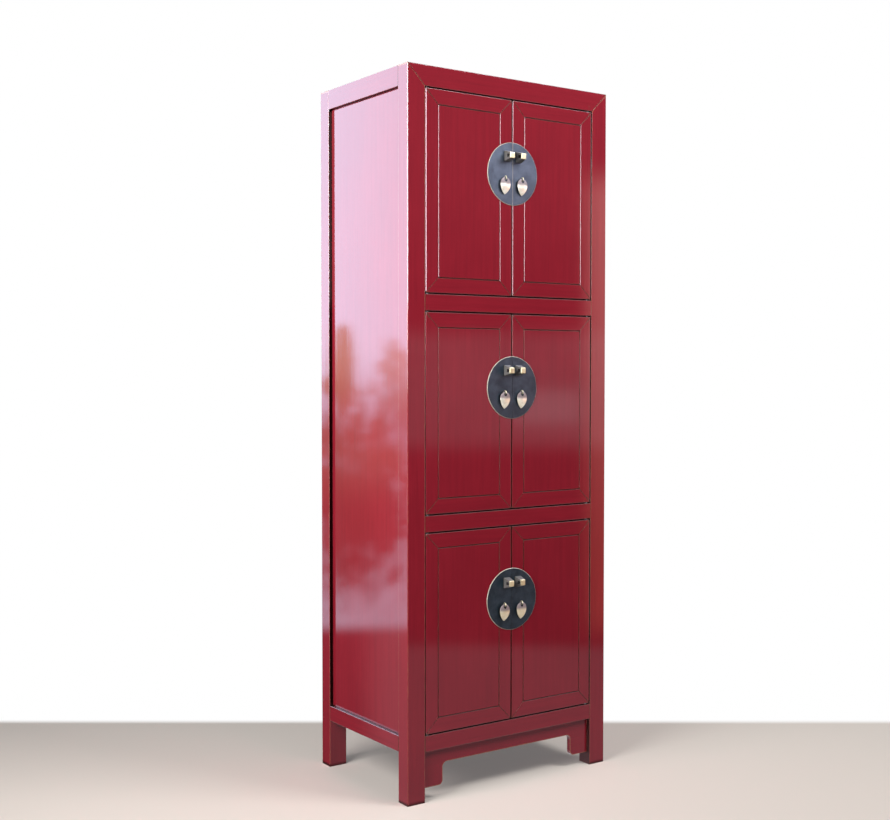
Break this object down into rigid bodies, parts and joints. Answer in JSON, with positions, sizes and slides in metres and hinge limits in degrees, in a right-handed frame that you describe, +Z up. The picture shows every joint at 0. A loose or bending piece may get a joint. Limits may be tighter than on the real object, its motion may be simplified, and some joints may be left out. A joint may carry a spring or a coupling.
{
  "type": "wedding cabinet",
  "caption": "Tall narrow lacquered cabinet on legs, with stacked pairs of framed doors, round brass lock plates, leaf pulls and a bracketed apron.",
  "frame": {"origin": "on the floor under the middle of the whole cabinet, fittings included", "axes": "+Z up, -Y towards the front where the doors are, +X to the right seen from the front"},
  "size_m": [0.6, 0.4236, 1.7],
  "materials": {
    "red_lacquer": "gloss",
    "inside_stain": "satin",
    "dark_bronze": "satin",
    "aged_brass": "polished",
    "pin_steel": "satin"
  },
  "bodies": {
    "case": {"post_front_left": "red_lacquer", "post_back_left": "red_lacquer", "post_front_right": "red_lacquer", "post_back_right": "red_lacquer", "side_panel_left": "red_lacquer", "side_panel_right": "red_lacquer", "top_rail_front": "red_lacquer", "mid_rails_front": "red_lacquer", "bottom_rail_front": "red_lacquer", "back_rails": "red_lacquer", "side_rails": "red_lacquer", "back_panels": "inside_stain", "top_panel": "red_lacquer", "apron": "red_lacquer", "shelf_boards": "inside_stain", "shelf_bearers": "inside_stain", "pivot_pins": "pin_steel"},
    "lower_left_door": {"lower_left_hinge_stile": "red_lacquer", "lower_left_lock_stile": "red_lacquer", "lower_left_rails": "red_lacquer", "lower_left_panel": "red_lacquer", "lower_left_face_plate": "dark_bronze", "lower_left_fittings": "aged_brass"},
    "lower_left_pull_leaf": {"lower_left_pull": "aged_brass"},
    "lower_right_door": {"lower_right_hinge_stile": "red_lacquer", "lower_right_lock_stile": "red_lacquer", "lower_right_rails": "red_lacquer", "lower_right_panel": "red_lacquer", "lower_right_face_plate": "dark_bronze", "lower_right_fittings": "aged_brass"},
    "lower_right_pull_leaf": {"lower_right_pull": "aged_brass"},
    "middle_left_door": {"middle_left_hinge_stile": "red_lacquer", "middle_left_lock_stile": "red_lacquer", "middle_left_rails": "red_lacquer", "middle_left_panel": "red_lacquer", "middle_left_face_plate": "dark_bronze", "middle_left_fittings": "aged_brass"},
    "middle_left_pull_leaf": {"middle_left_pull": "aged_brass"},
    "middle_right_door": {"middle_right_hinge_stile": "red_lacquer", "middle_right_lock_stile": "red_lacquer", "middle_right_rails": "red_lacquer", "middle_right_panel": "red_lacquer", "middle_right_face_plate": "dark_bronze", "middle_right_fittings": "aged_brass"},
    "middle_right_pull_leaf": {"middle_right_pull": "aged_brass"},
    "upper_left_door": {"upper_left_hinge_stile": "red_lacquer", "upper_left_lock_stile": "red_lacquer", "upper_left_rails": "red_lacquer", "upper_left_panel": "red_lacquer", "upper_left_face_plate": "dark_bronze", "upper_left_fittings": "aged_brass"},
    "upper_left_pull_leaf": {"upper_left_pull": "aged_brass"},
    "upper_right_door": {"upper_right_hinge_stile": "red_lacquer", "upper_right_lock_stile": "red_lacquer", "upper_right_rails": "red_lacquer", "upper_right_panel": "red_lacquer", "upper_right_face_plate": "dark_bronze", "upper_right_fittings": "aged_brass"},
    "upper_right_pull_leaf": {"upper_right_pull": "aged_brass"}
  },
  "joints": [
    {"name": "lower_left_door_hinge", "type": "hinge", "parent": "case", "child": "lower_left_door", "pos_m": [-0.2425, -0.1812, 0.159], "axis": [0, 0, -1], "range_deg": [0, 105]},
    {"name": "lower_left_pull_swing", "type": "hinge", "parent": "lower_left_door", "child": "lower_left_pull_leaf", "pos_m": [-0.0255, -0.1952, 0.4395], "axis": [-1, 0, 0], "range_deg": [0, 150]},
    {"name": "lower_right_door_hinge", "type": "hinge", "parent": "case", "child": "lower_right_door", "pos_m": [0.2425, -0.1812, 0.159], "axis": [0, 0, 1], "range_deg": [0, 105]},
    {"name": "lower_right_pull_swing", "type": "hinge", "parent": "lower_right_door", "child": "lower_right_pull_leaf", "pos_m": [0.0255, -0.1952, 0.4395], "axis": [-1, 0, 0], "range_deg": [0, 150]},
    {"name": "middle_left_door_hinge", "type": "hinge", "parent": "case", "child": "middle_left_door", "pos_m": [-0.2425, -0.1812, 0.6705], "axis": [0, 0, -1], "range_deg": [0, 105]},
    {"name": "middle_left_pull_swing", "type": "hinge", "parent": "middle_left_door", "child": "middle_left_pull_leaf", "pos_m": [-0.0255, -0.1952, 0.951], "axis": [-1, 0, 0], "range_deg": [0, 150]},
    {"name": "middle_right_door_hinge", "type": "hinge", "parent": "case", "child": "middle_right_door", "pos_m": [0.2425, -0.1812, 0.6705], "axis": [0, 0, 1], "range_deg": [0, 105]},
    {"name": "middle_right_pull_swing", "type": "hinge", "parent": "middle_right_door", "child": "middle_right_pull_leaf", "pos_m": [0.0255, -0.1952, 0.951], "axis": [-1, 0, 0], "range_deg": [0, 150]},
    {"name": "upper_left_door_hinge", "type": "hinge", "parent": "case", "child": "upper_left_door", "pos_m": [-0.2425, -0.1812, 1.182], "axis": [0, 0, -1], "range_deg": [0, 105]},
    {"name": "upper_left_pull_swing", "type": "hinge", "parent": "upper_left_door", "child": "upper_left_pull_leaf", "pos_m": [-0.0255, -0.1952, 1.4625], "axis": [-1, 0, 0], "range_deg": [0, 150]},
    {"name": "upper_right_door_hinge", "type": "hinge", "parent": "case", "child": "upper_right_door", "pos_m": [0.2425, -0.1812, 1.182], "axis": [0, 0, 1], "range_deg": [0, 105]},
    {"name": "upper_right_pull_swing", "type": "hinge", "parent": "upper_right_door", "child": "upper_right_pull_leaf", "pos_m": [0.0255, -0.1952, 1.4625], "axis": [-1, 0, 0], "range_deg": [0, 150]}
  ]
}
